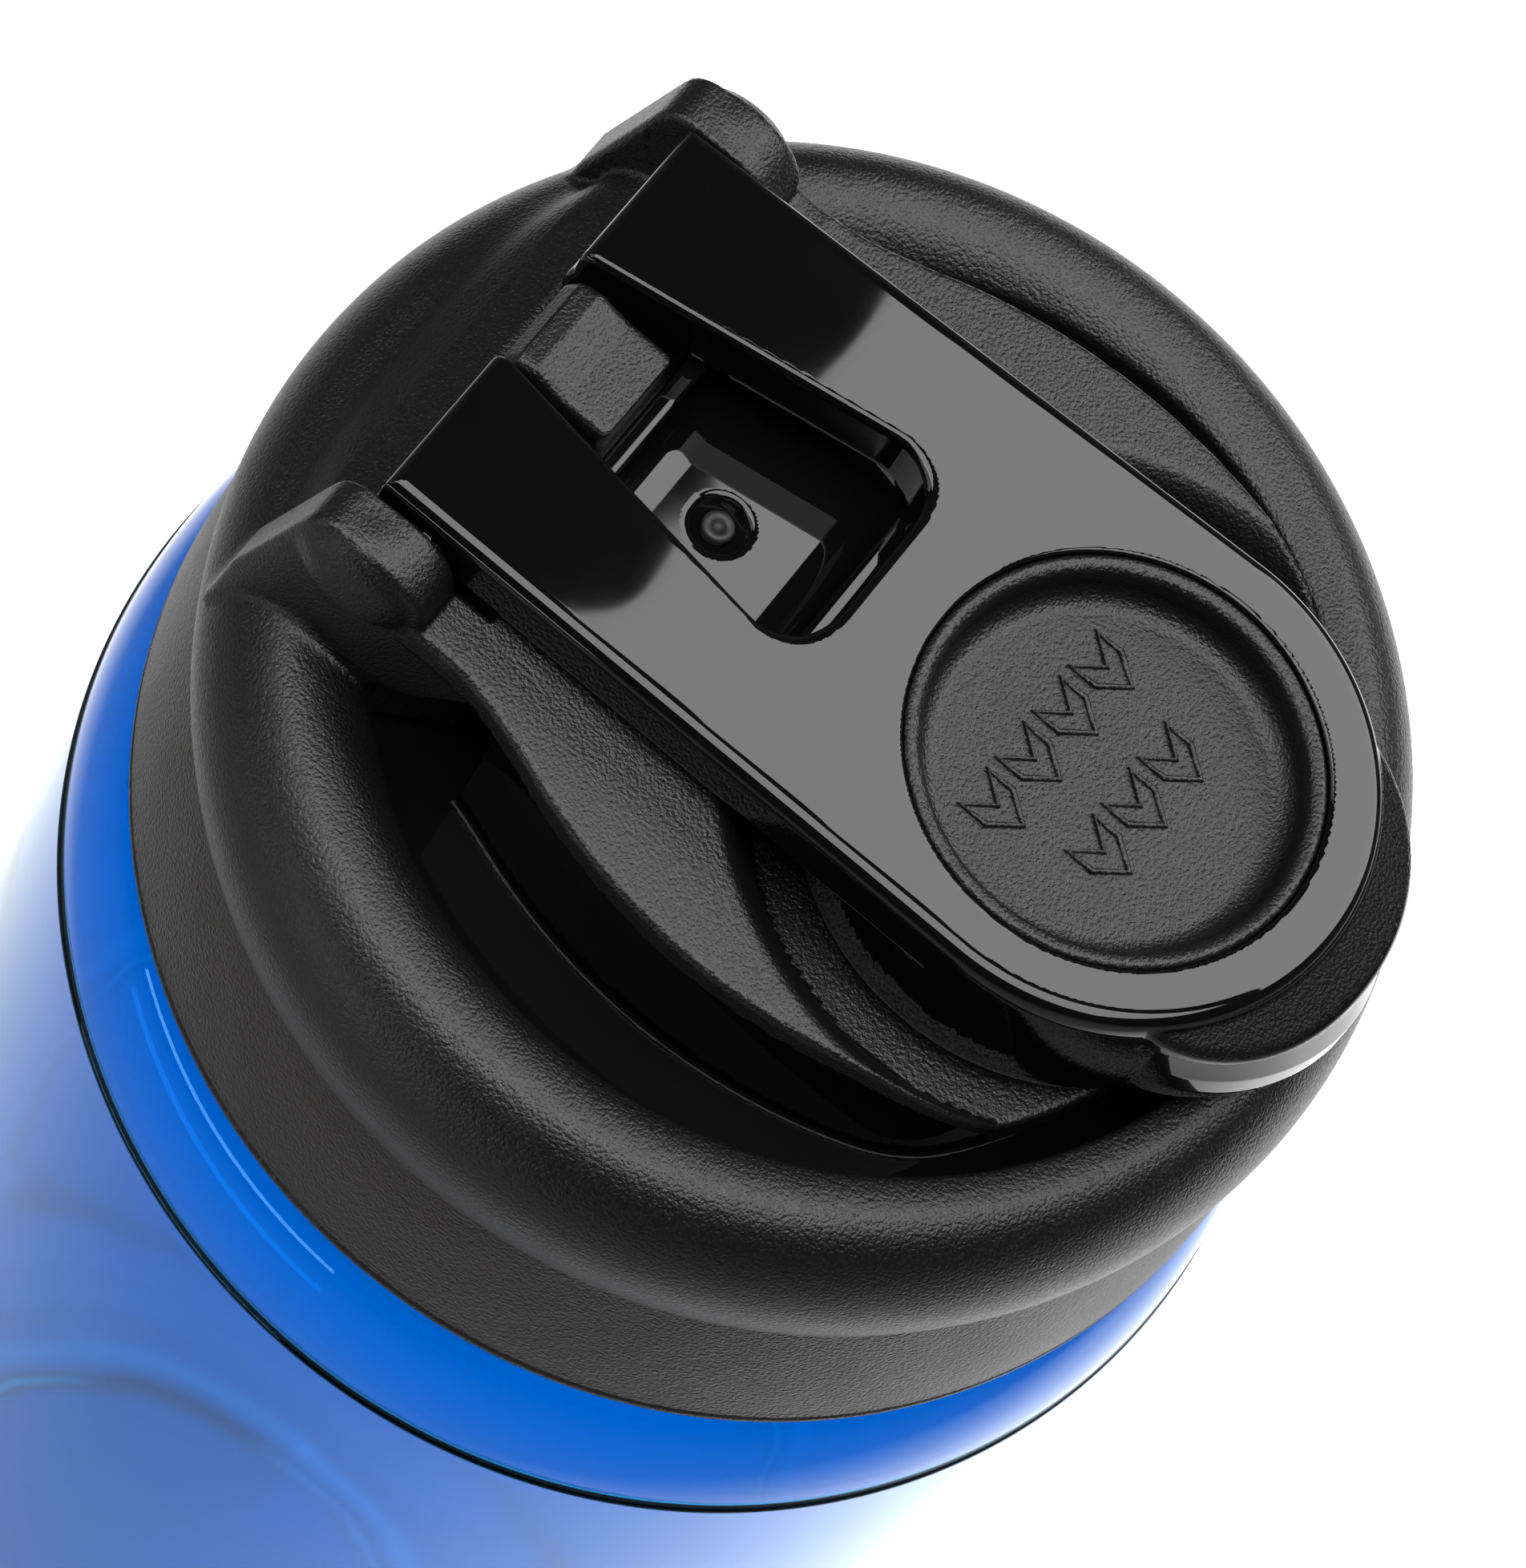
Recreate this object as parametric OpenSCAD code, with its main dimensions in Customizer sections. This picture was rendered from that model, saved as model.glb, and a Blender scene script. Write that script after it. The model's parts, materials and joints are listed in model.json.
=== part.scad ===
// Drinking bottle with a screw-on flip-top lid.
// Millimetres, +Z up. The origin is the centre of the base, on the bottle's own axis.
// The arm's thumb lip points along +X and the arm's hinge lies along Y at -X.

/* [Bottle] */
// Outside diameter of the bottle
body_d = 73; // [72.6:0.1:74]
// Height from the base to the bottom edge of the lid
body_h = 200; // [150:1:240]
// Thickness of the bottle's wall
body_wall = 1.8; // [1.4:0.1:2.2]

/* [Lid] */
// Radius of the lid's skirt at its bottom edge
skirt_r = 34.6; // [34.4:0.1:34.8]
// Radius of the pocket inside the lid's ring
pocket_r = 26.9; // [26.7:0.1:27.1]
// Height of the deck behind the spout, above the lid's bottom edge
deck_top = 32.4; // [32.2:0.1:32.6]

/* [Arm] */
// Half the arm's width at the hinge
arm_rear_w = 14; // [13.8:0.1:14]
// Radius of the arm's rounded front
arm_front_r = 14.9; // [14.6:0.1:15.2]
// Radius of the dished press disc
disc_r = 11.7; // [11.2:0.1:11.9]

/* [Thread] */
// Rise of the thread in one full turn
thread_lead = 8; // [7.6:0.1:8.4]

/* [Hidden] */
$fn = 96;

body_r = body_d / 2;
lid_z = body_h;

// Neck and thread
neck_r = 30.4;
neck_wall = 2.2;
neck_h = 15;
rim_gap = 0.6;
shoulder_h = 11;
skirt_in_r = 32.4;
thread_starts = 2;
thread_depth = 1.2;
lug_depth = 1.4;
ridge_root = 1;
ridge_tip = 0.5;
thread_z = 3.6;
male_turn = 290;
lug_start = 100;
lug_turn = 70;
lug_play = 0.4;
step_turn = 10;

// Base
foot_r = 5;
base_in_r = 24;
base_rise = 4;

// Rounded ring of the lid
roll_r = 29.9;
roll_z = 17.6;
roll_out = 4.4;
roll_in = 5.6;
roll_h = 7.1;
roll_wall = 2;
pocket_x = 1.7;
pocket_wall = 1.6;

// Insert under the ring
gasket_t = 1.8;
gasket_gap = 0.1;
flange_z = neck_h + gasket_t + gasket_gap;
floor_t = 1.6;
floor_z = flange_z + floor_t;
plug_skirt_r = 27.6;
plug_skirt_h = 7;

// Deck: high behind, falling into a round bowl about the spout
deck_t = 1.8;
deck_low = 25.3;
bowl_top_r = 20.8;
bowl_low_r = 17;
deck_front_r = 26.4;
deck_side_r = 36;
deck_side_x = 3.5;
deck_half_w = 21.9;
deck_rear_w = 18.4;
deck_rear_x = -11;
hub_inset = 1.2;
hub_wall = 1.6;
hub_rear_x = -11.8;
hub_back_x = -15.3;
hub_back_w = 11.4;
fit_gap = 0.1;

// Hinge
hinge_x = -21.3;
hinge_z = 33.2;
barrel_r = 3.7;
trunnion_r = 2;
trunnion_len = 2.8;
trunnion_fit = 0.06;
ear_gap = 0.3;
ear_t = 3.8;
ear_r = 5;
bed_r = 5.3;
knuckle_w = 3.3;
knuckle_x = -17.5;
knuckle_top = 36;

// Tray and vent behind the spout
tray_x0 = -16;
tray_x1 = -3.2;
tray_w = 9.6;
tray_corner = 3;
tray_wall = 1.2;
tray_floor = 29.6;
tray_t = 1.6;
vent_x = -10.3;
dimple_r = 1.7;
dimple_h = 0.7;
vent_hole_r = 0.8;
vent_flange_r = 1.7;

// Spout
disc_x = 14;
spout_r = 7.5;
spout_bore_r = 5;
spout_top = 31.2;
spout_clear_r = 9.8;

// Arm
arm_top = 37;
arm_t = 4;
arm_low = 26.5;
arm_rear_x = -24.7;
arm_wall = 1.8;
lip_out = 2.8;
lip_drop = 0.8;
lip_t = 2.2;
chin_out = 3.8;
chin_z = 29.5;
slot_front_x = -2.1;
slot_rear_w = 3.7;
slot_front_w = 6.9;
slot_corner = 3;

// Press disc
disc_floor = 34.3;
disc_under = 33;
disc_floor_r = 9.9;
seat_r = 9.4;
seat_t = 1;
mark_t = 0.25;

// Silicone plug
plug_gap = 0.3;
plug_flange_r = 8.2;
plug_top_r = 4.5;
plug_tip_r = 3.9;
plug_len = 2.4;

function arc(cx, cy, rx, ry, a0, a1, n) =
    [for (i = [0:n]) let (a = a0 + (a1 - a0) * i / n) [cx + rx * cos(a), cy + ry * sin(a)]];

// Line from the bowl's low floor at its middle, up its wall, to the high deck around it
function bowl_line(high, low, r0) =
    concat([[r0, low]],
           [for (i = [0:12])
                let (t = 1 - i / 12, fall = t * t * (1.6 - 0.6 * t))
                [bowl_top_r - (bowl_top_r - bowl_low_r) * t, high + (low - high) * fall]]);

// Extrudes a side view, drawn in X and Z, evenly to both sides of the middle
module side_view(half_w) {
    rotate([90, 0, 0])
        linear_extrude(2 * half_w, center = true)
            children();
}

module at_lid() {
    translate([0, 0, lid_z])
        children();
}

module at_hinge() {
    translate([hinge_x, 0, hinge_z])
        rotate([90, 0, 0])
            children();
}

// One start of a thread ridge, following the helix; out is the way the ridge points
module thread_ridge(root_r, tip_r, start, turn) {
    n = turn / step_turn;
    sink = tip_r > root_r ? -0.4 : 0.4;
    section = [[root_r + sink, -ridge_root], [tip_r, -ridge_tip], [tip_r, ridge_tip],
               [root_r + sink, ridge_root]];
    points = [for (i = [0:n], p = section)
                let (a = start + i * step_turn)
                [p[0] * cos(a), p[0] * sin(a), p[1] + thread_lead * (a - start) / 360]];
    sides = [for (i = [0:n - 1], k = [0:3], half = [0, 1])
                let (a = 4 * i + k, b = 4 * i + (k + 1) % 4)
                tip_r > root_r
                    ? (half == 0 ? [a, b, b + 4] : [a, b + 4, a + 4])
                    : (half == 0 ? [a, b + 4, b] : [a, a + 4, b + 4])];
    ends = tip_r > root_r
        ? [[3, 2, 1, 0], [4 * n, 4 * n + 1, 4 * n + 2, 4 * n + 3]]
        : [[0, 1, 2, 3], [4 * n + 3, 4 * n + 2, 4 * n + 1, 4 * n]];
    polyhedron(points, concat(sides, ends));
}

module bottle_wall() {
    in_r = body_r - body_wall;
    neck_in = neck_r - neck_wall;
    top = lid_z + neck_h;
    ledge = lid_z - rim_gap;
    outside = concat(
        [[0, base_rise], [base_in_r, base_rise], [base_in_r + 3, 0]],
        arc(body_r - foot_r, foot_r, foot_r, foot_r, -90, 0, 8),
        [[body_r, lid_z - shoulder_h]],
        arc(skirt_r - 3, lid_z - shoulder_h, body_r - skirt_r + 3, shoulder_h - rim_gap - 1, 12, 68, 8),
        [[neck_r + 2, ledge], [neck_r, ledge + 0.8], [neck_r, top - 0.6], [neck_r - 0.6, top]]);
    inside = concat(
        [[neck_in + 0.4, top], [neck_in, top - 0.4], [neck_in, ledge - 1]],
        [[in_r, lid_z - shoulder_h - 2]],
        arc(in_r - foot_r + 1, foot_r + body_wall, foot_r - 1, foot_r - 1, 0, -60, 6),
        [[base_in_r, base_rise + body_wall], [0, base_rise + body_wall]]);
    rotate_extrude()
        polygon(concat(outside, inside));
}

module bottle_body() {
    color("dodgerblue") {
        bottle_wall();
        for (k = [0:thread_starts - 1])
            translate([0, 0, lid_z + thread_z])
                thread_ridge(neck_r, neck_r + thread_depth, 360 * k / thread_starts, male_turn);
    }
}

module lid_gasket() {
    color("dimgray")
        translate([0, 0, lid_z + neck_h + gasket_gap])
            difference() {
                cylinder(h = gasket_t, r = neck_r + 0.6);
                translate([0, 0, -1])
                    cylinder(h = gasket_t + 2, r = neck_r - neck_wall);
            }
}

// Outline of the deck seen from above, drawn in by the given amount
module deck_outline(inset) {
    intersection() {
        circle(deck_front_r - inset);
        union() {
            intersection_for (s = [-1, 1])
                translate([deck_side_x, s * (deck_half_w - deck_side_r)])
                    circle(deck_side_r - inset, $fn = 180);
            translate([-deck_front_r, -deck_rear_w + inset])
                square([deck_front_r + deck_rear_x, 2 * (deck_rear_w - inset)]);
        }
    }
}

module skirt_and_roll() {
    crease = 13.8;
    rotate_extrude(convexity = 4)
        polygon(concat(
            [[skirt_in_r, 0], [skirt_r - 0.4, 0], [skirt_r, 0.4], [skirt_r, 0.9]],
            [[skirt_r - 0.3, 1.1], [skirt_r, 1.3], [skirt_r - 0.1, 2], [skirt_r - 1.1, crease]],
            arc(roll_r, roll_z, roll_out, roll_h, -24, 90, 14),
            arc(roll_r, roll_z, roll_in, roll_h, 97, 136, 5),
            [[roll_r + roll_in * cos(136), floor_z], [skirt_in_r - 0.1, floor_z],
             [skirt_in_r, flange_z]]));
}

module roll_hollow() {
    difference() {
        rotate_extrude(convexity = 4)
            polygon(concat(
                [[roll_r - roll_in, floor_z - 0.1], [roll_r + roll_out - roll_wall, floor_z - 0.1]],
                arc(roll_r, roll_z, roll_out - roll_wall, roll_h - roll_wall, 14, 90, 8),
                arc(roll_r, roll_z, roll_in, roll_h - roll_wall, 100, 165, 5)));
        translate([pocket_x, 0, 0])
            cylinder(h = 40, r = pocket_r + pocket_wall);
    }
}

module ring() {
    difference() {
        skirt_and_roll();
        roll_hollow();
        translate([pocket_x, 0, floor_z - 1])
            cylinder(h = 20, r = pocket_r);
    }
}

module at_spout() {
    translate([disc_x, 0, 0])
        children();
}

// Round plate that lines the bowl and reaches up to the high deck
module bowl_plate() {
    top = bowl_line(deck_top, deck_low, spout_clear_r);
    under = bowl_line(deck_top - deck_t, deck_low - deck_t, spout_clear_r);
    at_spout()
        rotate_extrude()
            polygon(concat(top, [for (i = [len(under) - 1:-1:0]) under[i]]));
}

module deck() {
    intersection() {
        linear_extrude(60)
            difference() {
                deck_outline(0);
                translate([-deck_front_r, -deck_front_r])
                    square([deck_front_r + deck_rear_x - 8, 2 * deck_front_r]);
            }
        union() {
            bowl_plate();
            translate([0, 0, deck_top - deck_t])
                linear_extrude(deck_t)
                    difference() {
                        square(80, center = true);
                        translate([disc_x, 0])
                            circle(bowl_top_r - 0.02);
                    }
        }
    }
}

// Solid foot of the hinge: the ramp up from the ring and the wall at the pocket's rear end
module hinge_foot() {
    intersection() {
        side_view(deck_rear_w)
            polygon([[-32, floor_z], [-32, 23], [-30, 24.6], [-26.2, 28.6], [-24, 29.4],
                     [-17, deck_top], [-12.5, deck_top - deck_t], [-12.5, floor_z]]);
        linear_extrude(60)
            polygon([[-33, -deck_rear_w], [-20.5, -17.6], [-12.5, -12.8],
                     [-12.5, 12.8], [-20.5, 17.6], [-33, deck_rear_w]]);
        cylinder(h = 60, r = roll_r + 1.5);
    }
}

module hinge_foot_hollow() {
    translate([0, 0, floor_z - 1])
        linear_extrude(24.6 - floor_z)
            polygon([[-26, -12], [-20, -15.4], [-17, -13.4], [-17, 13.4], [-20, 15.4], [-26, 12]]);
}

module ear(side) {
    inner_y = arm_rear_w + ear_gap;
    mirror([0, side < 0 ? 1 : 0, 0])
        translate([0, inner_y + ear_t, 0])
            rotate([90, 0, 0])
                difference() {
                    linear_extrude(ear_t)
                        union() {
                            translate([hinge_x, hinge_z])
                                circle(ear_r);
                            polygon([[-28.8, 23.6], [hinge_x - ear_r * cos(22), hinge_z + ear_r * sin(22)],
                                     [hinge_x + ear_r, hinge_z], [hinge_x + ear_r, deck_top - deck_t],
                                     [-14, deck_top - deck_t], [-17, 27], [-23, 23.6]]);
                        }
                    translate([hinge_x, hinge_z, 1])
                        cylinder(h = ear_t, r = trunnion_r + trunnion_fit);
                }
}

module knuckle() {
    side_view(knuckle_w)
        polygon([[arm_rear_x + 0.6, 28.6], [arm_rear_x + 0.4, knuckle_top - 1.4],
                 [arm_rear_x + 1.6, knuckle_top], [knuckle_x - 2, knuckle_top - 0.3],
                 [knuckle_x, knuckle_top - 0.8], [knuckle_x, deck_top - deck_t]]);
}

module tray_block(grow, z0, z1) {
    r = tray_corner + grow;
    x_mid = (tray_x0 + tray_x1) / 2;
    length = tray_x1 - tray_x0 + 2 * grow;
    width = 2 * (tray_w + grow);
    translate([x_mid, 0, z0])
        linear_extrude(z1 - z0)
            union() {
                square([length - 2 * r, width], center = true);
                square([length, width - 2 * r], center = true);
                for (sx = [-1, 1], sy = [-1, 1])
                    translate([sx * (length / 2 - r), sy * (width / 2 - r)])
                        circle(r, $fn = 32);
            }
}

module lid_shell() {
    color("darkslategray") at_lid() {
        difference() {
            union() {
                ring();
                difference() {
                    deck();
                    tray_block(tray_wall + fit_gap, tray_floor - tray_t - fit_gap, deck_top + 2);
                }
                difference() {
                    hinge_foot();
                    hinge_foot_hollow();
                    tray_block(tray_wall + fit_gap, tray_floor - 4, deck_top + 2);
                    linear_extrude(deck_top - deck_t)
                        hub_outline(-fit_gap);
                    at_hinge()
                        cylinder(h = 2 * (arm_rear_w + ear_gap), r = bed_r, center = true);
                }
                knuckle();
                for (side = [-1, 1])
                    ear(side);
            }
            translate([hinge_x, 0, hinge_z])
                for (side = [-1, 1])
                    translate([0, side * (knuckle_w + arm_rear_w + ear_gap) / 2, 0])
                        rotate([90, 0, 0])
                            cylinder(h = arm_rear_w + ear_gap - knuckle_w, r = bed_r, center = true);
        }
        lug_z = thread_z + thread_lead * (lug_start / 360 - 1 / thread_starts / 2) + lug_play;
        for (k = [0:thread_starts - 1])
            translate([0, 0, lug_z])
                thread_ridge(skirt_in_r, skirt_in_r - lug_depth,
                             lug_start + 360 * k / thread_starts, lug_turn);
    }
}

// Outline of the hub seen from above: under the deck, with a narrower back under the tray
module hub_outline(inset) {
    difference() {
        deck_outline(hub_inset + inset);
        translate([-40, -30])
            square([40 + hub_rear_x + inset, 60]);
    }
    translate([hub_back_x + inset, inset - hub_back_w])
        square([hub_rear_x - hub_back_x + 2, 2 * (hub_back_w - inset)]);
}

// Hub under the deck, drawn in by the given amount all round and on top
module hub_block(inset) {
    translate([0, 0, flange_z - 1])
        linear_extrude(deck_low - deck_t - inset - flange_z + 1)
            hub_outline(inset);
    translate([0, 0, flange_z - 1])
        linear_extrude(deck_top - deck_t - inset - flange_z + 1)
            difference() {
                hub_outline(inset);
                translate([disc_x, 0])
                    circle(bowl_top_r + inset);
            }
}

module lid_insert() {
    color("black") at_lid()
        difference() {
            union() {
                translate([0, 0, flange_z])
                    cylinder(h = floor_t, r = skirt_in_r - 0.2);
                translate([0, 0, flange_z - plug_skirt_h])
                    difference() {
                        cylinder(h = plug_skirt_h, r = plug_skirt_r);
                        translate([0, 0, -1])
                            cylinder(h = plug_skirt_h + 2, r = plug_skirt_r - 1.5);
                    }
                intersection() {
                    hub_block(0);
                    translate([0, 0, flange_z])
                        cylinder(h = 30, r = 30);
                }
                tray_block(tray_wall, tray_floor - tray_t, deck_top - 0.2);
                translate([disc_x, 0, deck_low - deck_t - 2])
                    cylinder(h = spout_top - deck_low + deck_t + 2, r = spout_r);
            }
            difference() {
                hub_block(hub_wall);
                tray_block(tray_wall, tray_floor - tray_t, 50);
                translate([disc_x, 0, deck_low - deck_t - 2])
                    cylinder(h = 30, r = spout_r);
            }
            tray_block(0, tray_floor, deck_top + 2);
            translate([disc_x, 0, floor_z])
                cylinder(h = 20, r = spout_bore_r);
            translate([vent_x, 0, tray_floor - dimple_h])
                cylinder(h = 5, r = dimple_r);
            translate([vent_x, 0, 20])
                cylinder(h = 20, r = vent_hole_r);
        }
}

module vent_valve() {
    under = tray_floor - tray_t;
    color("gray") at_lid()
        translate([vent_x, 0, 0]) {
            translate([0, 0, under - 0.8])
                cylinder(h = 0.8, r = vent_flange_r, $fn = 48);
            translate([0, 0, under - 0.1])
                cylinder(h = tray_floor - under, r = vent_hole_r, $fn = 32);
            translate([0, 0, tray_floor - dimple_h])
                cylinder(h = 0.4, r = vent_hole_r + 0.2, $fn = 32);
        }
}

// Bulge of the arm's front towards the thumb, fading out at the given angle to each side
module front_outline(out, spread) {
    polygon(concat(
        [[disc_x, 0]],
        [for (i = [-15:15])
            let (a = (spread + 4) * i / 15,
                 r = arm_front_r + out * (1 - pow(abs(a) / spread, 3)))
            [disc_x + r * cos(a), r * sin(a)]]));
}

module arm_outline() {
    polygon([[arm_rear_x, -arm_rear_w], [disc_x, -arm_front_r],
             [disc_x, arm_front_r], [arm_rear_x, arm_rear_w]]);
    translate([disc_x, 0])
        circle(arm_front_r, $fn = 120);
}

module slot_outline() {
    corner_x = slot_front_x - slot_corner;
    corner_y = slot_front_w - slot_corner;
    polygon([[arm_rear_x - 3, -slot_rear_w], [corner_x, -slot_front_w],
             [corner_x, slot_front_w], [arm_rear_x - 3, slot_rear_w]]);
    translate([corner_x - slot_corner, -corner_y])
        square([2 * slot_corner, 2 * corner_y]);
    for (side = [-1, 1])
        translate([corner_x, side * corner_y])
            circle(slot_corner, $fn = 48);
}

module arm_body() {
    difference() {
        union() {
            translate([0, 0, arm_top - arm_t])
                linear_extrude(arm_t)
                    arm_outline();
            translate([disc_x, 0, arm_low])
                cylinder(h = arm_top - arm_t / 2 - arm_low, r = arm_front_r - 0.05, $fn = 120);
            translate([0, 0, arm_top - lip_drop - lip_t])
                linear_extrude(lip_t)
                    front_outline(lip_out, 52);
            translate([0, 0, chin_z + 1.9])
                linear_extrude(arm_top - lip_drop - lip_t - chin_z - 1.8)
                    front_outline((lip_out + chin_out) / 2 - 0.3, 50);
            translate([0, 0, arm_low])
                linear_extrude(chin_z - arm_low + 2)
                    front_outline(chin_out - 0.6, 48);
        }
        arm_hollow();
        linear_extrude(60)
            slot_outline();
        translate([arm_rear_x - 1, -30, arm_top - 0.8])
            rotate([0, -45, 0])
                cube([2, 60, 2]);
        translate([-40, -30, 0])
            cube([40 + hinge_x, 60, hinge_z]);
    }
}

// Space inside the thick front, open underneath, that closes over the spout
module arm_hollow() {
    translate([disc_x, 0, arm_low - 1])
        cylinder(h = disc_under - seat_t - arm_low + 1, r = arm_front_r - arm_wall);
    translate([disc_x, 0, 0])
        cylinder(h = 60, r = seat_r);
    translate([disc_x, 0, disc_under])
        cylinder(h = 10, r = disc_r + 0.05);
}

module flip_arm() {
    color("black") at_lid() {
        difference() {
            union() {
                arm_body();
                at_hinge()
                    cylinder(h = 2 * arm_rear_w - 0.4, r = barrel_r, center = true);
            }
            linear_extrude(60)
                slot_outline();
        }
        at_hinge()
            for (side = [-1, 1])
                translate([0, 0, side * (arm_rear_w + trunnion_len / 2 - 0.5)])
                    cylinder(h = trunnion_len + 1, r = trunnion_r, center = true);
    }
}

module chevron(w, t) {
    polygon([[-t / 2, 0], [t / 2, 0], [t / 2 + w / 2, w / 2], [t / 2, w], [-t / 2, w],
             [w / 2 - t / 2, w / 2]]);
}

// Two rows of raised chevrons that show where to press
module press_marks() {
    w = 2.7;
    step = 3;
    for (row = [[-3.6, 5], [1.2, 4]])
        for (i = [0:row[1] - 1])
            translate([row[0], (i - row[1] / 2) * step, 0])
                chevron(w, 0.7);
}

module press_disc() {
    color("darkgray") at_lid()
        translate([disc_x, 0, 0]) {
            rotate_extrude()
                polygon([[0, disc_under], [disc_r, disc_under], [disc_r, arm_top - 0.3],
                         [disc_r - 0.3, arm_top - 0.1], [disc_r - 0.6, arm_top - 0.3],
                         [disc_floor_r + 0.5, disc_floor + 0.4], [disc_floor_r - 0.4, disc_floor],
                         [0, disc_floor]]);
            translate([0, 0, disc_floor - 0.2])
                linear_extrude(0.2 + mark_t)
                    press_marks();
        }
}

module spout_plug() {
    top = disc_under;
    flange_under = spout_top + plug_gap;
    color("lightgray") at_lid()
        translate([disc_x, 0, 0])
            rotate_extrude()
                polygon([[0, top], [seat_r - 0.2, top], [seat_r - 0.2, top - seat_t],
                         [plug_flange_r, flange_under], [plug_top_r, flange_under],
                         [plug_top_r, flange_under - 0.6], [plug_tip_r, flange_under - plug_len],
                         [0, flange_under - plug_len]]);
}

bottle_body();
lid_gasket();
lid_shell();
lid_insert();
vent_valve();
flip_arm();
press_disc();
spout_plug();
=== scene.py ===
"""Looks of the drinking bottle: every piece is modelled as a distance field or a turned profile,
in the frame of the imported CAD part, and given a procedural material."""

import json
import math

import bpy
import numpy as np
from mathutils import Matrix, Quaternion, Vector


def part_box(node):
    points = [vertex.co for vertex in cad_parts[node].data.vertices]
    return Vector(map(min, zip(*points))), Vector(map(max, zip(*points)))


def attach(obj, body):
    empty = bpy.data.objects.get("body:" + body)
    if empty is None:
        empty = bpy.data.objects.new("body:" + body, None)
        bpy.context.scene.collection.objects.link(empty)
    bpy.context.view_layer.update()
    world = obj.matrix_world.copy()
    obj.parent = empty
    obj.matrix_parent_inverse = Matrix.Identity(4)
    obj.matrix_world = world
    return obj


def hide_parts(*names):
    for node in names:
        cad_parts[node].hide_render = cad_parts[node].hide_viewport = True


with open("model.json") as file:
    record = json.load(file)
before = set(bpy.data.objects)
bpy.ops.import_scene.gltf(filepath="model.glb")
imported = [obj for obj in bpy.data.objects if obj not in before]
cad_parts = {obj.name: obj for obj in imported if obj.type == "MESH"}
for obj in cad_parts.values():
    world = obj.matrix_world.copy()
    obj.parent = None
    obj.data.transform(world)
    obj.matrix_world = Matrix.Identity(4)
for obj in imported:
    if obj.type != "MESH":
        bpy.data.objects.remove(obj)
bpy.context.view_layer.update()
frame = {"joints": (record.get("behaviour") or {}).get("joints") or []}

# ---------------------------------------------------------------- sizes
# Millimetres. Heights on the lid are counted from the skirt's bottom edge.
MM = 0.001
CELL = 0.3
FINE_CELL = 0.2


def box_mm(node):
    """The two corners of a CAD node's box, in mm."""
    low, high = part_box(node)
    return np.array(low) / MM, np.array(high) / MM


SHELL_LOW, SHELL_HIGH = box_mm("lid_shell")
LID_Z = float(SHELL_LOW[2])
BODY_R = float(box_mm("bottle_body")[1][1])
NECK_TOP = float(box_mm("bottle_body")[1][2]) - LID_Z
GASKET_LOW, GASKET_HIGH = box_mm("lid_gasket")
DISC_LOW, DISC_HIGH = box_mm("press_disc")
ARM_LOW, ARM_HIGH = box_mm("flip_arm")
INSERT_LOW, INSERT_HIGH = box_mm("lid_insert")
VENT_LOW, VENT_HIGH = box_mm("vent_valve")
PLUG_LOW, PLUG_HIGH = box_mm("spout_plug")
HINGE = next(j for j in frame["joints"] if j["name"] == "arm_hinge")
HINGE_X = HINGE["pos_m"][0] / MM
HINGE_Z = HINGE["pos_m"][2] / MM - LID_Z

SKIRT_R = float(SHELL_HIGH[1])
SKIRT_IN_R = SKIRT_R - 2.2
ROLL_R = 29.9
ROLL_Z = 17.6
ROLL_OUT = 4.4
ROLL_IN = 5.6
ROLL_H = 7.1
POCKET_X = 1.7
POCKET_R = 26.9
POCKET_WALL = 1.8
FLANGE_Z = float(GASKET_HIGH[2]) - LID_Z
FLOOR_Z = FLANGE_Z + 1.6

DECK_TOP = 32.4
DECK_LOW = 25.3
DECK_T = 1.8
BOWL_TOP_R = 20.8
BOWL_LOW_R = 17.0
CHEEK_W = 17.6
FOOT_FRONT_X = -12.5
HUB_REAR_X = -12.3
SPOUT_HOLE_R = 9.8

ARM_TOP = float(ARM_HIGH[2]) - LID_Z
ARM_REAR_X = -24.7
ARM_REAR_W = 14.0
ARM_FRONT_R = 14.9
ARM_T = 4.0
ARM_LOW_Z = float(ARM_LOW[2]) - LID_Z
DISC_X = float(DISC_LOW[0] + DISC_HIGH[0]) / 2
DISC_R = float(DISC_HIGH[0] - DISC_LOW[0]) / 2
DISC_UNDER = float(DISC_LOW[2]) - LID_Z
DISC_FLOOR = DISC_UNDER + 1.3
SLOT_FRONT_X = -2.1
SLOT_REAR_W = 3.7
SLOT_FRONT_W = 6.9
ARM_WALL = 1.8
BARREL_R = 3.68
BARREL_ROOM_R = 5.3
PIN_R = 2.0
PIN_HOLE_R = 2.06

TRAY_X = (-16.0, -3.2)
TRAY_W = 9.6
TRAY_FLOOR = 29.6
VENT_X = float(VENT_LOW[0] + VENT_HIGH[0]) / 2
VENT_HOLE_R = 0.85

SPOUT_R = 7.5
SPOUT_BORE_R = 5.0
SPOUT_TOP = float(PLUG_LOW[2]) - LID_Z + 2.1

THREAD_LEAD = 8.0
THREAD_STARTS = 2
NECK_R = 30.4
NECK_WALL = 2.2
BODY_WALL = 1.8
THREAD_DEPTH = 1.2


def in_lid(point):
    """A point of the frame, with its height counted from the skirt's bottom edge."""
    return point - [0, 0, LID_Z]


# ---------------------------------------------------------------- distance fields
def smin(a, b, k):
    """The nearer of two distances, with a fillet of about k between them."""
    h = np.maximum(k - np.abs(a - b), 0) / k
    return np.minimum(a, b) - h * h * k * 0.25


def smax(a, b, k):
    """The farther of two distances, with a round of about k between them."""
    return -smin(-a, -b, k)


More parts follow.
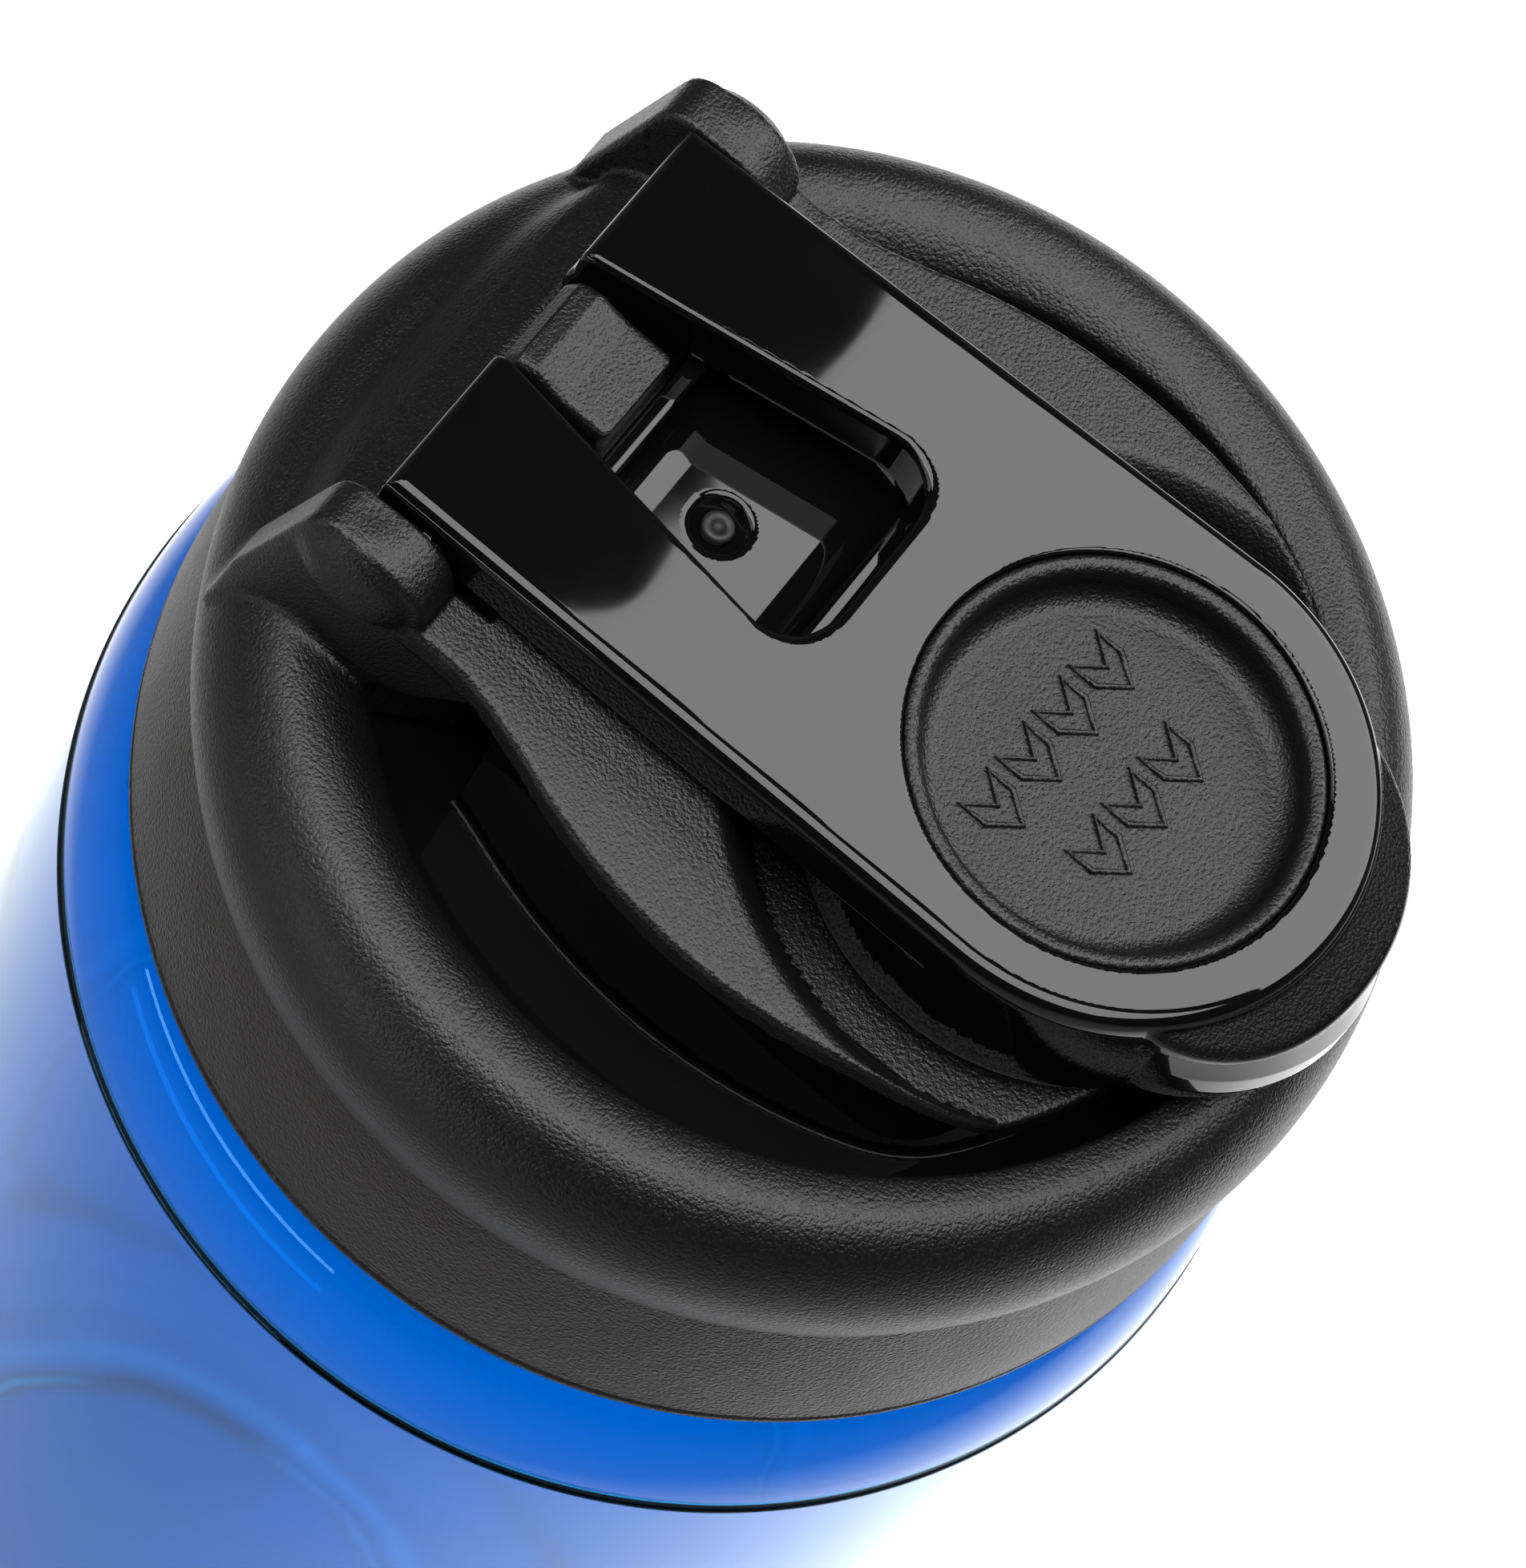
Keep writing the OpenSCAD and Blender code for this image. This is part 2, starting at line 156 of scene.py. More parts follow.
def arc(cx, cy, rx, ry, a0, a1, n):
    """Points at n equal steps along an elliptic arc, from angle a0 to a1 in degrees."""
    angles = np.radians(np.linspace(a0, a1, n + 1))
    return [(cx + rx * math.cos(a), cy + ry * math.sin(a)) for a in angles]


class Outline:
    """Distance to a closed flat outline, looked up in a fine table."""

    def __init__(self, points, step=0.1, margin=5.0):
        p = np.array(points, float)
        self.low = p.min(0) - margin
        self.step = step
        size = np.ceil((p.max(0) + margin - self.low) / step).astype(int) + 1
        u = self.low[0] + step * np.arange(size[0])[:, None]
        v = self.low[1] + step * np.arange(size[1])[None, :]
        best = np.full((size[0], size[1]), 1e9)
        inside = np.zeros((size[0], size[1]), bool)
        for (ax, ay), (bx, by) in zip(p, np.roll(p, -1, axis=0)):
            dx, dy = bx - ax, by - ay
            length2 = dx * dx + dy * dy
            if length2 < 1e-12:
                continue
            t = np.clip(((u - ax) * dx + (v - ay) * dy) / length2, 0, 1)
            best = np.minimum(best, (u - ax - t * dx) ** 2 + (v - ay - t * dy) ** 2)
            if ay != by:
                crosses = (v >= min(ay, by)) & (v < max(ay, by))
                inside ^= crosses & (u < ax + (v - ay) * dx / dy)
        self.table = np.where(inside, -1, 1) * np.sqrt(best)

    def __call__(self, u, v):
        u, v = np.broadcast_arrays(u, v)
        a = np.clip((u - self.low[0]) / self.step, 0, self.table.shape[0] - 1.001)
        b = np.clip((v - self.low[1]) / self.step, 0, self.table.shape[1] - 1.001)
        i, j = a.astype(np.int32), b.astype(np.int32)
        fa, fb = a - i, b - j
        t = self.table
        near = t[i, j] * (1 - fb) + t[i, j + 1] * fb
        far = t[i + 1, j] * (1 - fb) + t[i + 1, j + 1] * fb
        return near * (1 - fa) + far * fa


def sample(field, low, high, cell):
    """The field's values on a grid of points that covers the box."""
    count = np.ceil((np.array(high) - low) / cell).astype(int) + 1
    x, y, z = (low[i] + cell * np.arange(count[i]) for i in range(3))
    values = np.empty(count, np.float32)
    for k in range(count[2]):
        values[:, :, k] = field(x[:, None], y[None, :], z[k])
    return values


def surface(field, low, high, cell):
    """Vertices and quads of the field's zero surface, by surface nets, drawn onto the exact surface."""
    low = np.array(low, float) - 2 * cell
    values = sample(field, low, np.array(high, float) + 2 * cell, cell)
    inside = values < 0
    corner = [(i, j, k) for i in (0, 1) for j in (0, 1) for k in (0, 1)]
    nx, ny, nz = (n - 1 for n in values.shape)
    filled = np.zeros((nx, ny, nz), np.int8)
    for i, j, k in corner:
        filled += inside[i:i + nx, j:j + ny, k:k + nz]
    cells = np.argwhere((filled > 0) & (filled < 8))
    total = np.zeros((len(cells), 3))
    hits = np.zeros(len(cells))
    for a in corner:
        for axis in range(3):
            if a[axis]:
                continue
            b = tuple(a[m] + (m == axis) for m in range(3))
            va = values[tuple((cells + a).T)]
            vb = values[tuple((cells + b).T)]
            cut = (va < 0) != (vb < 0)
            t = np.where(cut, va / np.where(cut, va - vb, 1), 0)
            point = np.array(a, float) + np.outer(t, np.array(b) - a)
            total += point * cut[:, None]
            hits += cut
    verts = low + cell * (cells + total / hits[:, None])

    index = np.full((nx, ny, nz), -1, np.int32)
    index[tuple(cells.T)] = np.arange(len(cells))
    quads = []
    for axis in range(3):
        u, v = (axis + 1) % 3, (axis + 2) % 3
        here = [slice(1, -1)] * 3
        here[axis] = slice(0, -1)
        there = list(here)
        there[axis] = slice(1, None)
        first, second = inside[tuple(here)], inside[tuple(there)]
        edges = np.argwhere(first != second)
        offset = np.ones(3, int)
        offset[axis] = 0
        edges = edges + offset
        flip = inside[tuple(edges.T)]
        ring = []
        for du, dv in ((0, 0), (1, 0), (1, 1), (0, 1)):
            c = edges.copy()
            c[:, u] -= du
            c[:, v] -= dv
            ring.append(index[tuple(c.T)])
        quad = np.stack(ring, 1)
        quad[~flip] = quad[~flip][:, ::-1]
        quads.append(quad)
    quads = np.concatenate(quads)
    return refine(field, verts, cell), quads


def gradient(field, p, h=0.03):
    """The field's slope at each point."""
    x, y, z = p.T
    return np.stack([
        field(x + h, y, z) - field(x - h, y, z),
        field(x, y + h, z) - field(x, y - h, z),
        field(x, y, z + h) - field(x, y, z - h)], 1) / (2 * h)


def refine(field, p, cell):
    """The points moved along the field's slope until they lie on its zero surface."""
    for _ in range(3):
        g = gradient(field, p)
        size2 = np.maximum((g * g).sum(1), 0.05)
        step = g * (field(*p.T) / size2)[:, None]
        p = p - np.clip(step, -cell / 2, cell / 2)
    return p


def mesh_object(name, verts, faces, normals=None):
    """An object from arrays of points, in mm above the base, and of faces with one length each."""
    mesh = bpy.data.meshes.new(name)
    sides = faces.shape[1]
    mesh.vertices.add(len(verts))
    mesh.vertices.foreach_set("co", (verts * MM).astype(np.float32).ravel())
    mesh.loops.add(faces.size)
    mesh.loops.foreach_set("vertex_index", faces.astype(np.int32).ravel())
    mesh.polygons.add(len(faces))
    mesh.polygons.foreach_set("loop_start", np.arange(0, faces.size, sides, dtype=np.int32))
    mesh.update(calc_edges=True)
    mesh.validate()
    mesh.shade_smooth()
    if normals is not None:
        size = np.linalg.norm(normals, axis=1, keepdims=True)
        mesh.normals_split_custom_set_from_vertices(normals / np.maximum(size, 1e-9))
    obj = bpy.data.objects.new(name, mesh)
    bpy.context.scene.collection.objects.link(obj)
    return obj


def solid(name, field, low, high, cell):
    """A piece from a distance field in lid heights."""
    verts, quads = surface(field, low, high, cell)
    return mesh_object(name, verts + [0, 0, LID_Z], quads, gradient(field, verts))


def with_axis_rings(outline):
    """The outline with one more point beside each one on the axis, so that flat middles stay flat."""
    result = []
    for i, (r, z) in enumerate(outline):
        if r < 0.02 and outline[i - 1][0] > 0.1:
            result.append((0.05, z))
        result.append((r, z))
        if r < 0.02 and outline[(i + 1) % len(outline)][0] > 0.1:
            result.append((0.05, z))
    return result


def turned(name, outline, centre=(0, 0), z0=0.0, segments=192, radius=None):
    """A piece turned about an upright axis from a closed outline of (radius, height) points."""
    p = np.array(with_axis_rings(outline), float)
    n = len(p)
    angle = np.linspace(0, 2 * math.pi, segments, endpoint=False)
    r = np.repeat(p[None, :, 0], segments, 0)
    z = np.repeat(p[None, :, 1], segments, 0)
    if radius is not None:
        r = radius(r, z, angle[:, None])
    verts = np.stack([centre[0] + r * np.cos(angle)[:, None],
                      centre[1] + r * np.sin(angle)[:, None], z + z0], 2).reshape(-1, 3)
    i, j = np.meshgrid(np.arange(segments), np.arange(n), indexing="ij")
    i2, j2 = (i + 1) % segments, (j + 1) % n
    faces = np.stack([i * n + j, i2 * n + j, i2 * n + j2, i * n + j2], 2).reshape(-1, 4)
    return mesh_object(name, verts, faces)


# ---------------------------------------------------------------- lid shell
def over_deck(x, y, z, high, low):
    """Distance above the deck, which falls from high to low into a round bowl about the spout."""
    t = np.clip((BOWL_TOP_R - np.hypot(x - DISC_X, y)) / (BOWL_TOP_R - BOWL_LOW_R), 0, 1)
    high = high - 0.04 * (x + 8) - 0.7 * np.clip(np.abs(y) / 22, 0, 1.2) ** 3
    slope = np.where(t < 1, (high - low) * t * (3.2 - 1.8 * t) / (BOWL_TOP_R - BOWL_LOW_R), 0)
    height = high + (low - high) * t * t * (1.6 - 0.6 * t)
    return (z - height) / np.sqrt(1 + slope * slope)


def deck_outline(x, y, inset):
    """Plan of the deck: a lens across the ring, joined at the rear to the foot's width."""
    side_r, side_x, half_w = 36.0, 3.5, 21.9
    ring = np.hypot(x, y) - (26.4 - inset)
    lens = np.hypot(x - side_x, np.abs(y) + side_r - half_w) - (side_r - inset)
    rear = np.maximum(np.abs(y) - (CHEEK_W - inset), x + 11)
    return smax(ring, smin(lens, rear, 2.0), 1.0)


RING = Outline(
    [(SKIRT_IN_R, 0), (SKIRT_R - 0.35, 0), (SKIRT_R, 0.35), (SKIRT_R, 0.85),
     (SKIRT_R - 0.3, 1.05), (SKIRT_R, 1.25), (SKIRT_R - 0.05, 2)]
    + [(SKIRT_R - 0.05 - 1.05 * t ** 1.5, 2 + 11.2 * t) for t in np.linspace(0.1, 1, 10)]
    + arc(ROLL_R, ROLL_Z, ROLL_OUT, ROLL_H, -26, 90, 24)
    + arc(ROLL_R, ROLL_Z, ROLL_IN, ROLL_H, 94, 138, 12)
    + [(ROLL_R + ROLL_IN * math.cos(math.radians(138)), FLOOR_Z),
       (SKIRT_IN_R - 1, FLOOR_Z), (SKIRT_IN_R, FLANGE_Z)])
FOOT = Outline(
    [(-34, FLOOR_Z), (-34, 19), (-32, 23), (-30, 25), (-27.6, 27.4), (-25.4, 28.9), (-23, 29.6),
     (-17, DECK_TOP), (FOOT_FRONT_X, DECK_TOP - DECK_T), (FOOT_FRONT_X, FLOOR_Z)])
EAR = Outline(
    [(-29.7, 19), (-29.2, 24.6), (-27.0, 33.6)]
    + arc(-24.8, 34.1, 2.0, 2.0, 165, 90, 6) + arc(-22.4, 33.0, 3.8, 3.1, 85, 0, 10)
    + [(-18.5, DECK_TOP), (-13.5, DECK_TOP - DECK_T), (-17, 26), (-24, 19)])
KNUCKLE = Outline(
    [(ARM_REAR_X + 0.3, 28.2), (ARM_REAR_X + 0.2, 34.6), (ARM_REAR_X + 0.9, 35.8),
     (ARM_REAR_X + 2.2, 36.1), (-20.5, 35.5), (-17.5, 35.3), (-17.5, 29)])


def foot_plan(x, y, z):
    """The foot under the deck's rear: its cheeks lean in towards their lower front corner."""
    lean = 0.6 * (1 - np.clip((z - 22.5) / 8.0, 0, 1))
    front = (np.abs(y) - (CHEEK_W - lean * (x + 20.5))) / np.hypot(1, lean)
    return smax(smax(np.abs(y) - CHEEK_W, front, 1.0), x - FOOT_FRONT_X, 1.0)


def tray_plan(x, y, grow):
    """Plan of the sunk tray, a round-cornered rectangle grown all round by the given amount."""
    half_x = (TRAY_X[1] - TRAY_X[0]) / 2 + grow
    qx = np.abs(x - (TRAY_X[0] + TRAY_X[1]) / 2) - half_x + 3 + grow
    qy = np.abs(y) - TRAY_W - grow + 3 + grow
    out = np.hypot(np.maximum(qx, 0), np.maximum(qy, 0))
    return out + np.minimum(np.maximum(qx, qy), 0) - 3 - grow


def pocket_plan(x, y):
    """Plan of the round pocket inside the ring."""
    return np.hypot(x - POCKET_X, y) - POCKET_R


def hollow_ring(x, y, z):
    """The ring with its inside, hollow from the pocket's wall to the skirt."""
    r = np.hypot(x, y)
    hollow_top = ROLL_Z + (ROLL_H - 2) * np.sqrt(np.clip(1 - ((r - ROLL_R) / 4.4) ** 2, 0, 1))
    hollow = np.maximum(z - hollow_top, FLOOR_Z - 0.5 - z)
    hollow = np.maximum(hollow, POCKET_WALL - pocket_plan(x, y))
    hollow = np.maximum(hollow, r - (ROLL_R + ROLL_OUT - 2))
    return np.maximum(RING(r, z), -hollow * 0.7)


def ears(x, y, z):
    """The hinge's two ears, each a flat cheek with a rounded boss."""
    inner = ARM_REAR_W + 0.3 - np.abs(y)
    cheek = smax(EAR(x, z), np.maximum(np.abs(y) - CHEEK_W, inner), 0.5)
    boss = (np.hypot((x + 22.9) / 3.9, (z - 33.0) / 3.3) - 1) * 3.3
    boss = smax(boss, np.maximum(np.abs(y) - CHEEK_W - 1.0, inner), 2.4)
    return smin(cheek, boss, 0.3)


def lid_shell_field(x, y, z):
    """Ring, foot, deck, block and ears, cut by the pocket, window, spout's hole and hinge."""
    barrel = np.hypot(x - HINGE_X, z - HINGE_Z)
    plan = foot_plan(x, y, z)
    foot = smax(FOOT(x, z), plan, 0.8)
    foot = smax(foot, np.hypot(x, y) - 31.0, 2.0)
    foot = np.maximum(foot, -np.maximum(np.maximum(np.abs(y) - 12, z - 26), np.abs(x + 20) - 6))
    bed = smax(BARREL_ROOM_R - barrel, 0 * y + x - (HINGE_X + 8), 0.3)
    foot = smax(foot, bed, 0.8)
    shell = smin(hollow_ring(x, y, z), foot, 1.0)
    shell = smax(shell, -np.maximum(pocket_plan(x, y), -plan), 0.35)

    plate = smax(over_deck(x, y, z, DECK_TOP, DECK_LOW), deck_outline(x, y, 0.0), 0.5)
    plate = np.maximum(plate, -over_deck(x, y, z + DECK_T, DECK_TOP, DECK_LOW))
    plate = np.maximum(plate, -19.5 - x)
    shell = smin(shell, plate, 0.8)
    window = np.maximum(tray_plan(x, y, 1.3), 27.9 - z)
    spout_hole = np.maximum(np.hypot(x - DISC_X, y) - SPOUT_HOLE_R, 20 - z)
    shell = smax(shell, -np.minimum(window, spout_hole), 0.3)

    knuckle = smax(KNUCKLE(x, z), np.abs(y) - 3.3, 0.8)
    shell = smin(shell, knuckle, 0.8)
    shell = smin(shell, ears(x, y, z), 0.4)
    swept = np.maximum(np.abs(np.abs(y) - 8.85) - 5.45, barrel - BARREL_ROOM_R)
    shell = smax(shell, -swept, 0.3)
    socket = np.maximum(barrel - PIN_HOLE_R, np.abs(np.abs(y) - 15) - 2.1)
    return np.maximum(shell, -socket)


def make_lid_shell():
    return solid("LidShell", lid_shell_field, in_lid(SHELL_LOW), in_lid(SHELL_HIGH), CELL)


# ---------------------------------------------------------------- lid insert
def hub(x, y, z, inset):
    """The hub under the deck, drawn in all round by the given amount."""
    plan = np.maximum(deck_outline(x, y, 1.2 + inset), HUB_REAR_X + inset - x)
    back = np.maximum(np.abs(y) - 11.4 + inset, np.abs(x + 12.55) - 2.75 + inset)
    under = over_deck(x, y, z + DECK_T + 0.05 + inset, DECK_TOP, DECK_LOW)
    return np.maximum(np.minimum(plan, back), under)


def lid_insert_field(x, y, z):
    """Flange and rim with the hollow hub on them, and the spout in the middle of the hub."""
    r = np.hypot(x, y)
    plate = smax(np.abs(z - (FLANGE_Z + FLOOR_Z) / 2) - 0.8, r - SKIRT_IN_R + 0.25, 0.4)
    skirt = np.maximum(np.abs(r - 26.85) - 0.75, np.abs(z - FLANGE_Z + 3) - 4)
    shell = smin(plate, np.maximum(hub(x, y, z, 0), FLANGE_Z - z), 0.4)
    shell = np.maximum(shell, -hub(x, y, z, 1.6))
    shell = np.minimum(shell, skirt)
    spout_d = np.hypot(x - DISC_X, y)
    spout = np.maximum(spout_d - SPOUT_R, np.maximum(z - SPOUT_TOP, 22 - z))
    shell = smin(shell, smax(spout, z - SPOUT_TOP, 1.0), 0.6)
    shell = smax(shell, -np.maximum(spout_d - SPOUT_BORE_R, FLOOR_Z - z), 0.8)
    socket = np.maximum(tray_plan(x, y, 0.6), 28.2 - z)
    return np.maximum(shell, -socket)


def vent_tray_field(x, y, z):
    """The sunk tray behind the spout, with the vent's dimple in its floor."""
    block = smax(tray_plan(x, y, 1.2), np.abs(z - 30.1) - 2.1, 0.3)
    tray = smax(tray_plan(x, y, 0.0), TRAY_FLOOR - z, 2.4)
    shell = smax(block, -tray, 0.4)
    dimple = np.hypot(np.hypot(x - VENT_X, y), (z - TRAY_FLOOR - 1.2)) - 2.15
    shell = smax(shell, -dimple, 0.25)
    vent = np.maximum(np.hypot(x - VENT_X, y) - VENT_HOLE_R, np.abs(z - TRAY_FLOOR) - 4)
    return np.maximum(shell, -vent)


def make_lid_insert():
    return solid("LidInsert", lid_insert_field, in_lid(INSERT_LOW), in_lid(INSERT_HIGH), CELL)


def make_vent_tray():
    low = [TRAY_X[0] - 1.3, -TRAY_W - 1.3, 27.9]
    high = [TRAY_X[1] + 1.3, TRAY_W + 1.3, 32.3]
    return solid("VentTray", vent_tray_field, low, high, CELL / 2)


# ---------------------------------------------------------------- arm
def arm_half_width(x):
    """Half the arm's width, which grows from the hinge to the round front."""
    return ARM_REAR_W + (ARM_FRONT_R - ARM_REAR_W) * (x - ARM_REAR_X) / (DISC_X - ARM_REAR_X)


def front_reach(x, y, z):
    """How far the front stands out past its circle: a thumb lip above, a chin below."""
    a = np.degrees(np.abs(np.arctan2(y, x - DISC_X)))
    chin = np.clip(1 - (a / 42) ** 1.8, 0, 1)
    lip = np.clip(1 - (a / 48) ** 2.6, 0, 1)
    bulge = np.interp(z, [ARM_LOW_Z, 27.5, 28.8, 30.5, 32.5, 34.0], [2.6, 3.4, 3.8, 3.7, 3.1, 2.7])
    chin = chin * bulge
    share = np.clip(z - 33.5, 0, 1)
    return chin + (3.0 * lip - chin) * share


def arm_plan(x, y):
    """Plan of the arm: straight tapered sides and a round front."""
    sides = np.maximum(np.maximum(np.abs(y) - arm_half_width(x), ARM_REAR_X - x), x - DISC_X)
    return np.minimum(sides, np.hypot(x - DISC_X, y) - ARM_FRONT_R)


def slot_plan(x, y):
    """Plan of the slot between the arm's legs, open at the rear."""
    share = np.clip((x - ARM_REAR_X) / (SLOT_FRONT_X - 3 - ARM_REAR_X), -0.2, 1)
    half = SLOT_REAR_W + (SLOT_FRONT_W - SLOT_REAR_W) * share
    return smax(np.abs(y) - half, x - SLOT_FRONT_X, 4.0)


def flip_arm_field(x, y, z):
    """Plate, round front with its lip and chin, and hinge barrel, cut by slot, cavity and seat."""
    d = np.hypot(x - DISC_X, y)
    plate = smax(arm_plan(x, y), ARM_TOP - ARM_T - z, 0.6)
    block = smax(d - ARM_FRONT_R, ARM_LOW_Z - z, 0.8)
    barrel = np.maximum(np.hypot(x - HINGE_X, z - HINGE_Z) - BARREL_R, np.abs(y) - 13.8)
    arm = np.minimum(np.minimum(plate, block), barrel)
    arm = smax(arm, z - ARM_TOP, 1.0)
    lip_top = z - ARM_TOP + 0.8 + 0.45 * np.clip(d - ARM_FRONT_R, 0, 3)
    front = d - ARM_FRONT_R - front_reach(x, y, z)
    front = smax(smax(front, lip_top, 0.7), DISC_X - x, 0.5)
    front = smax(front, ARM_LOW_Z - z, 1.2)
    arm = smin(arm, front, 0.25)
    tail = np.maximum(np.maximum(x - HINGE_X, z - HINGE_Z), 0.6 - barrel)
    arm = np.maximum(arm, -tail)
    arm = smax(arm, -slot_plan(x, y), 0.5)
    cavity = np.maximum(d - (ARM_FRONT_R - ARM_WALL), z - (DISC_UNDER - 1))
    arm = smax(arm, -cavity, 0.4)
    seat = np.maximum(d - DISC_R - 0.06, DISC_UNDER - z)
    through = d - 9.4
    arm = smax(arm, -np.minimum(seat, through), 0.25)
    pins = np.maximum(np.hypot(x - HINGE_X, z - HINGE_Z) - PIN_R, np.abs(y) - ARM_REAR_W - 2.7)
    pins = np.maximum(pins, 12 - np.abs(y))
    return np.minimum(arm, pins)


def make_flip_arm():
    return solid("FlipArm", flip_arm_field, in_lid(ARM_LOW), in_lid(ARM_HIGH), FINE_CELL)


# ---------------------------------------------------------------- turned pieces
def make_bottle():
    """Body, shoulder and neck in one wall, with the thread raised on the neck."""
    in_r = BODY_R - BODY_WALL
    neck_in = NECK_R - NECK_WALL
    ledge = LID_Z - 0.6
    edge = LID_Z - 11
    top = LID_Z + NECK_TOP
    outside = (
        [(0.01, 4), (12, 4.0), (22, 4.0)] + arc(24, 1.0, 3.4, 3.0, 90, 20, 8)
        + arc(29.5, 0.9, 1.6, 0.9, 200, 270, 5)
        + arc(BODY_R - 5, 5, 5, 5, -90, 0, 16)
        + [(BODY_R, z) for z in np.linspace(8, edge - 0.6, 60)]
        + arc(BODY_R - 0.5, edge - 0.5, 0.5, 0.5, 0, 50, 4)
        + arc(SKIRT_R - 3.2, edge - 0.5, BODY_R - SKIRT_R + 3.0, 10.2, 8, 70, 20)
        + [(NECK_R + 1.5, ledge), (NECK_R + 0.3, ledge + 0.2), (NECK_R, ledge + 0.6)]
        + [(NECK_R, z) for z in np.linspace(LID_Z + 0.6, top - 0.9, 64)]
        + arc(NECK_R - 0.6, top - 0.6, 0.6, 0.6, 10, 90, 5))
    inside = (
        arc(neck_in + 0.6, top - 0.6, 0.6, 0.6, 90, 170, 5)
        + [(neck_in, z) for z in np.linspace(top - 1.5, ledge - 1, 6)]
        + arc(SKIRT_R - 6.0, edge - 2.5, in_r - SKIRT_R + 6.0, 10.0, 70, 4, 14)
        + [(in_r, z) for z in np.linspace(edge - 3, 9, 12)]
        + arc(in_r - 4, 6.8, 4, 4, 0, -80, 10)
        + [(24, 5.8), (12, 5.8), (0.01, 5.8)])

    def with_thread(r, z, angle):
        """The neck's radius with the thread's starts added, each fading out at both ends."""
        start_z = LID_Z + 3.6
        out = np.zeros_like(z)
        turn = np.radians(290)
        for k in range(THREAD_STARTS):
            a = (angle - 2 * math.pi * k / THREAD_STARTS) % (2 * math.pi)
            mid = start_z + THREAD_LEAD * a / (2 * math.pi)
            fade = np.clip(np.minimum(a, turn - a) / 0.15, 0, 1)
            height = np.clip((1.0 - np.abs(z - mid)) / 0.45, 0, 1)
            out = np.maximum(out, THREAD_DEPTH * fade * height)
        return np.where(np.abs(r - NECK_R) < 0.01, r + out, r)

    return turned("BottleBody", outside + inside, segments=256, radius=with_thread)


def make_gasket():
    """A flat ring with rounded corners and a groove in both edges."""
    low, high = GASKET_LOW[2], GASKET_HIGH[2]
    inner, outer = NECK_R - NECK_WALL, float(GASKET_HIGH[0])
    c = 0.3
    mid = (low + high) / 2
    outline = (
        arc(outer - c, low + c, c, c, -90, 0, 4) + [(outer - c / 2, mid)]
        + arc(outer - c, high - c, c, c, 0, 90, 4)
        + arc(inner + c, high - c, c, c, 90, 180, 4) + [(inner + c / 2, mid)]
        + arc(inner + c, low + c, c, c, 180, 270, 4))
    return turned("LidGasket", outline)


def make_plug():
    """The disc under the arm's front, with the tip that closes the spout."""
    top, tip = float(PLUG_HIGH[2]) - LID_Z, float(PLUG_LOW[2]) - LID_Z
    outer = float(PLUG_HIGH[0] - PLUG_LOW[0]) / 2
    flange = tip + 2.4
    outline = (
        [(0.01, top), (outer - 0.2, top), (outer, top - 0.2), (outer, top - 0.9)]
        + [(8.2, flange), (5.0, flange)] + arc(5.0, flange - 0.5, 0.5, 0.5, 90, 180, 4)
        + [(4.45, flange - 0.8), (4.0, tip + 0.6)] + arc(3.4, tip + 0.5, 0.5, 0.5, 0, -90, 4)
        + [(0.01, tip)])
    return turned("SpoutPlug", outline[::-1], centre=(DISC_X, 0), z0=LID_Z, segments=96)


def make_vent_valve():
    """A mushroom valve: a flange below, a stem through the tray and a small cupped head."""
    low, high = float(VENT_LOW[2]) - LID_Z, float(VENT_HIGH[2]) - LID_Z
    flange = float(VENT_HIGH[0] - VENT_LOW[0]) / 2
    outline = (
        [(0.01, low), (flange - 0.3, low)] + arc(flange - 0.3, low + 0.3, 0.3, 0.3, -90, 0, 3)
        + [(flange, low + 0.7), (0.8, low + 0.8), (0.8, high - 0.5)]
        + arc(0.7, high - 0.25, 0.25, 0.25, -90, 90, 6) + [(0.35, high - 0.05), (0.3, high - 0.3)]
        + [(0.01, high - 0.3)])
    return turned("VentValve", outline, centre=(VENT_X, 0), z0=LID_Z, segments=48)


def make_press_disc():
    """The dished cup in the arm's front, with a rounded rim."""
    rim = ARM_TOP - 0.05
    outline = (
        [(0.01, DISC_UNDER), (DISC_R, DISC_UNDER), (DISC_R, rim - 0.4)]
        + arc(DISC_R - 0.35, rim - 0.4, 0.35, 0.4, 0, 90, 5)
        + arc(DISC_R - 0.35, rim - 0.55, 0.7, 0.55, 90, 175, 7)
        + arc(DISC_R - 2.6, DISC_FLOOR + 1.35, 1.5, 1.35, -5, -90, 10)
        + [(6, DISC_FLOOR), (3, DISC_FLOOR), (0.01, DISC_FLOOR)])
    return turned("PressDisc", outline, centre=(DISC_X, 0), z0=LID_Z)


def make_press_marks():
    """Raised outlines of arrowheads in two rows, pointing at the thumb lip."""
    curve = bpy.data.curves.new("PressMarks", "CURVE")
    curve.dimensions = "3D"
    curve.bevel_depth = 0.2 * MM
    curve.bevel_resolution = 3
    width, tip, bar, step = 2.6, 1.6, 1.7, 3.5
    shape = [(0, 0), (bar, 0), (bar + tip, width / 2), (bar, width), (0, width), (tip, width / 2)]
    for row_x, count in ((-5.0, 4), (0.9, 3)):
        for i in range(count):
            y0 = (i - count / 2) * step + (step - width) / 2
            spline = curve.splines.new("POLY")
            spline.points.add(len(shape) - 1)
            for point, (sx, sy) in zip(spline.points, shape):
                x = DISC_X + row_x + sx
                point.co = (x * MM, (y0 + sy) * MM, (LID_Z + DISC_FLOOR + 0.04) * MM, 1)
            spline.use_cyclic_u = True
    obj = bpy.data.objects.new("PressMarks", curve)
    bpy.context.scene.collection.objects.link(obj)
    return obj


